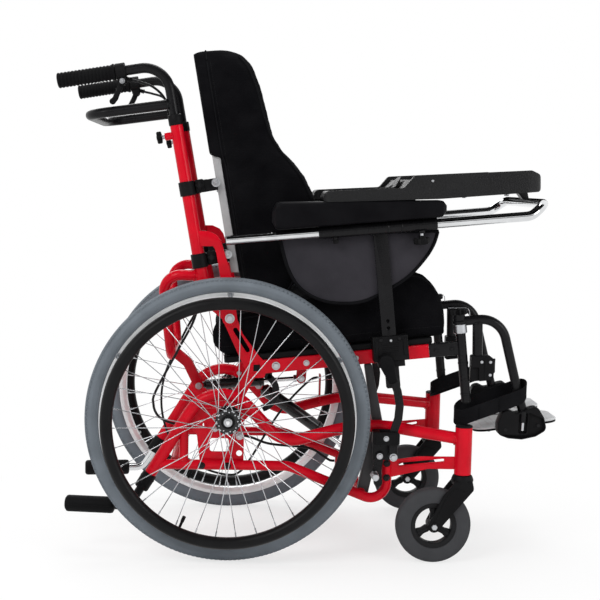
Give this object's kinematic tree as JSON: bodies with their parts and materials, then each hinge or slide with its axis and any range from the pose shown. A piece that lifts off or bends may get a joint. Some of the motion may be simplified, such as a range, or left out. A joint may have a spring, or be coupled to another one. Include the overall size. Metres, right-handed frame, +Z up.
{
  "type": "pediatric positioning wheelchair",
  "caption": "Tilt-in-space pediatric wheelchair with reclining back, contoured cushions, height-adjustable arms, slide-out tray, swing-away footrests, spoked rear wheels and front casters.",
  "frame": {"origin": "on the floor, centred under the chair's length and width", "axes": "+X forward, +Y to the chair's left, +Z up"},
  "size_m": [1.0214, 0.575, 1.0014],
  "materials": {
    "red_enamel": "smooth glossy red powder coat",
    "grey_tyre": "matt grey rubber with a fine tread",
    "bright_tube": "bright polished tube",
    "wheel_alloy": "polished alloy rim with bright spokes",
    "bare_steel": "zinc-plated and brushed steel",
    "black_metal": "satin black powder coat on tube",
    "black_rim": "soft black vinyl coat on the push ring",
    "black_plastic": "moulded black nylon with a fine grain",
    "black_rubber": "black rubber",
    "charcoal_panel": "charcoal grained padded skin",
    "grey_board": "grey board",
    "tray_plastic": "grained gloss black moulding",
    "foot_plastic": "pale grey moulding",
    "black_fabric": "black knitted cushion cover"
  },
  "bodies": {
    "base": {"side_frame_R": "red_enamel", "side_frame_L": "red_enamel", "rear_cross_tube": "red_enamel", "front_cross_tube": "red_enamel", "axle_R": "bare_steel", "axle_L": "bare_steel", "tipping_lever_R": "black_metal", "tipping_lever_L": "black_metal", "brake_bracket_R": "black_plastic", "brake_bracket_L": "black_plastic", "brake_cable_R": "black_rubber", "brake_cable_L": "black_rubber"},
    "tilt_rod_body": {"tilt_rod": "bare_steel"},
    "seat": {"seat_frame": "red_enamel", "seat_pan": "black_plastic", "seat_cushion": "black_fabric", "tilt_stop_plate": "black_metal", "arm_receiver_R": "black_plastic", "arm_receiver_L": "black_plastic", "hanger_mount_R": "black_metal", "hanger_mount_L": "black_metal"},
    "tilt_cylinder_body": {"tilt_cylinder": "black_metal"},
    "recline_rod_body": {"recline_rod": "bare_steel"},
    "back": {"back_frame": "red_enamel", "back_board": "grey_board", "back_cushion": "black_fabric"},
    "recline_cylinder_body": {"recline_cylinder": "black_metal"},
    "handle": {"push_handle": "black_metal", "hand_grip_R": "black_rubber", "hand_grip_L": "black_rubber"},
    "tray_slider": {"tray": "tray_plastic", "tray_frame": "bright_tube"},
    "rear_wheel_body_R": {"rear_tyre_R": "grey_tyre", "rear_wheel_R": "wheel_alloy", "handrim_R": "black_rim"},
    "fork_R": {"caster_fork_R": "black_plastic"},
    "caster_R": {"caster_wheel_R": "black_rubber"},
    "park_lever_R": {"brake_lever_R": "black_metal"},
    "park_shoe_R": {"brake_shoe_R": "black_plastic"},
    "arm_R": {"arm_frame_R": "black_metal", "arm_pad_R": "black_plastic", "side_panel_R": "charcoal_panel"},
    "hanger_body_R": {"hanger_R": "black_metal", "heel_strap_R": "black_fabric"},
    "foot_R": {"footplate_R": "foot_plastic"},
    "grip_lever_R": {"hand_lever_R": "black_plastic"},
    "rear_wheel_body_L": {"rear_tyre_L": "grey_tyre", "rear_wheel_L": "wheel_alloy", "handrim_L": "black_rim"},
    "fork_L": {"caster_fork_L": "black_plastic"},
    "caster_L": {"caster_wheel_L": "black_rubber"},
    "park_lever_L": {"brake_lever_L": "black_metal"},
    "park_shoe_L": {"brake_shoe_L": "black_plastic"},
    "arm_L": {"arm_frame_L": "black_metal", "arm_pad_L": "black_plastic", "side_panel_L": "charcoal_panel"},
    "hanger_body_L": {"hanger_L": "black_metal", "heel_strap_L": "black_fabric"},
    "foot_L": {"footplate_L": "foot_plastic"},
    "grip_lever_L": {"hand_lever_L": "black_plastic"}
  },
  "joints": [
    {"name": "rear_wheel_spin_R", "type": "hinge", "parent": "base", "child": "rear_wheel_body_R", "pos_m": [-0.1635, -0.225, 0.28], "axis": [0, 1, 0], "continuous": true},
    {"name": "caster_swivel_R", "type": "hinge", "parent": "base", "child": "fork_R", "pos_m": [0.3035, -0.217, 0.177], "axis": [0, 0, 1], "continuous": true},
    {"name": "caster_spin_R", "type": "hinge", "parent": "fork_R", "child": "caster_R", "pos_m": [0.2475, -0.217, 0.075], "axis": [0, 1, 0], "continuous": true},
    {"name": "park_brake_R", "type": "hinge", "parent": "base", "child": "park_lever_R", "pos_m": [0.1635, -0.226, 0.211], "axis": [0, 1, 0], "range_deg": [0, 40]},
    {"name": "park_shoe_swing_R", "type": "hinge", "parent": "base", "child": "park_shoe_R", "pos_m": [0.1385, -0.206, 0.209], "axis": [0, 1, 0], "range_deg": [0, 36]},
    {"name": "rear_wheel_spin_L", "type": "hinge", "parent": "base", "child": "rear_wheel_body_L", "pos_m": [-0.1635, 0.225, 0.28], "axis": [0, 1, 0], "continuous": true},
    {"name": "caster_swivel_L", "type": "hinge", "parent": "base", "child": "fork_L", "pos_m": [0.3035, 0.217, 0.177], "axis": [0, 0, 1], "continuous": true},
    {"name": "caster_spin_L", "type": "hinge", "parent": "fork_L", "child": "caster_L", "pos_m": [0.2475, 0.217, 0.075], "axis": [0, 1, 0], "continuous": true},
    {"name": "park_brake_L", "type": "hinge", "parent": "base", "child": "park_lever_L", "pos_m": [0.1635, 0.226, 0.211], "axis": [0, 1, 0], "range_deg": [0, 40]},
    {"name": "park_shoe_swing_L", "type": "hinge", "parent": "base", "child": "park_shoe_L", "pos_m": [0.1385, 0.206, 0.209], "axis": [0, 1, 0], "range_deg": [0, 36]},
    {"name": "seat_tilt", "type": "hinge", "parent": "base", "child": "seat", "pos_m": [-0.1435, 0, 0.319], "axis": [0, -1, 0], "range_deg": [0, 35], "deforming": ["brake_cable_R", "brake_cable_L"]},
    {"name": "tilt_cylinder_turn", "type": "hinge", "parent": "seat", "child": "tilt_cylinder_body", "pos_m": [-0.1015, 0.045, 0.309], "axis": [0, -1, 0], "range_deg": [-40, 0]},
    {"name": "tilt_rod_turn", "type": "hinge", "parent": "base", "child": "tilt_rod_body", "pos_m": [0.0915, 0.045, 0.175], "axis": [0, -1, 0], "range_deg": [-5, 0]},
    {"name": "back_recline", "type": "hinge", "parent": "seat", "child": "back", "pos_m": [-0.1645, 0, 0.475], "axis": [0, -1, 0], "range_deg": [0, 20], "deforming": ["brake_cable_R", "brake_cable_L"]},
    {"name": "recline_cylinder_turn", "type": "hinge", "parent": "back", "child": "recline_cylinder_body", "pos_m": [-0.2275, -0.03, 0.318], "axis": [0, -1, 0], "range_deg": [-14, 0]},
    {"name": "recline_rod_turn", "type": "hinge", "parent": "seat", "child": "recline_rod_body", "pos_m": [-0.0135, -0.03, 0.337], "axis": [0, -1, 0], "range_deg": [0, 6.2]},
    {"name": "handle_height", "type": "slide", "parent": "back", "child": "handle", "axis": [-0.1848, 0, 0.9828], "range_m": [0, 0.1], "deforming": ["brake_cable_R", "brake_cable_L"]},
    {"name": "hand_brake_R", "type": "hinge", "parent": "handle", "child": "grip_lever_R", "pos_m": [-0.3825, -0.172, 0.935], "axis": [0, 1, 0], "range_deg": [0, 32], "stiffness_Nm_per_rad": 0.4, "springref_deg": -8.59},
    {"name": "hand_brake_L", "type": "hinge", "parent": "handle", "child": "grip_lever_L", "pos_m": [-0.3825, 0.172, 0.935], "axis": [0, 1, 0], "range_deg": [0, 32], "stiffness_Nm_per_rad": 0.4, "springref_deg": -8.59},
    {"name": "arm_height_R", "type": "slide", "parent": "seat", "child": "arm_R", "axis": [-0.1149, 0, 0.9934], "range_m": [-0.03, 0.05]},
    {"name": "arm_height_L", "type": "slide", "parent": "seat", "child": "arm_L", "axis": [-0.1149, 0, 0.9934], "range_m": [-0.03, 0.05]},
    {"name": "tray_reach", "type": "slide", "parent": "arm_R", "child": "tray_slider", "axis": [0.9948, 0, 0.1022], "range_m": [0, 0.12]},
    {"name": "footrest_swing_R", "type": "hinge", "parent": "seat", "child": "hanger_body_R", "pos_m": [0.29791, -0.17, 0.45412], "axis": [-0.1149, 0, 0.9934], "range_deg": [-75, 0]},
    {"name": "footplate_flip_R", "type": "hinge", "parent": "hanger_body_R", "child": "foot_R", "pos_m": [0.4245, -0.146, 0.27], "axis": [0.9888, 0, 0.1495], "range_deg": [0, 85]},
    {"name": "footrest_swing_L", "type": "hinge", "parent": "seat", "child": "hanger_body_L", "pos_m": [0.29791, 0.17, 0.45412], "axis": [-0.1149, 0, 0.9934], "range_deg": [0, 75]},
    {"name": "footplate_flip_L", "type": "hinge", "parent": "hanger_body_L", "child": "foot_L", "pos_m": [0.4245, 0.146, 0.27], "axis": [0.9888, 0, 0.1495], "range_deg": [-85, 0]}
  ],
  "couplings": [
    {"joint": "park_shoe_swing_R", "follows": "park_brake_R", "ratio": 0.9},
    {"joint": "park_shoe_swing_L", "follows": "park_brake_L", "ratio": 0.9},
    {"joint": "tilt_cylinder_turn", "follows": "seat_tilt", "ratio": -1.131},
    {"joint": "tilt_rod_turn", "follows": "seat_tilt", "ratio": -0.131},
    {"joint": "recline_cylinder_turn", "follows": "back_recline", "ratio": -0.6935},
    {"joint": "recline_rod_turn", "follows": "back_recline", "ratio": 0.3065},
    {"joint": "arm_height_L", "follows": "arm_height_R", "ratio": 1}
  ]
}
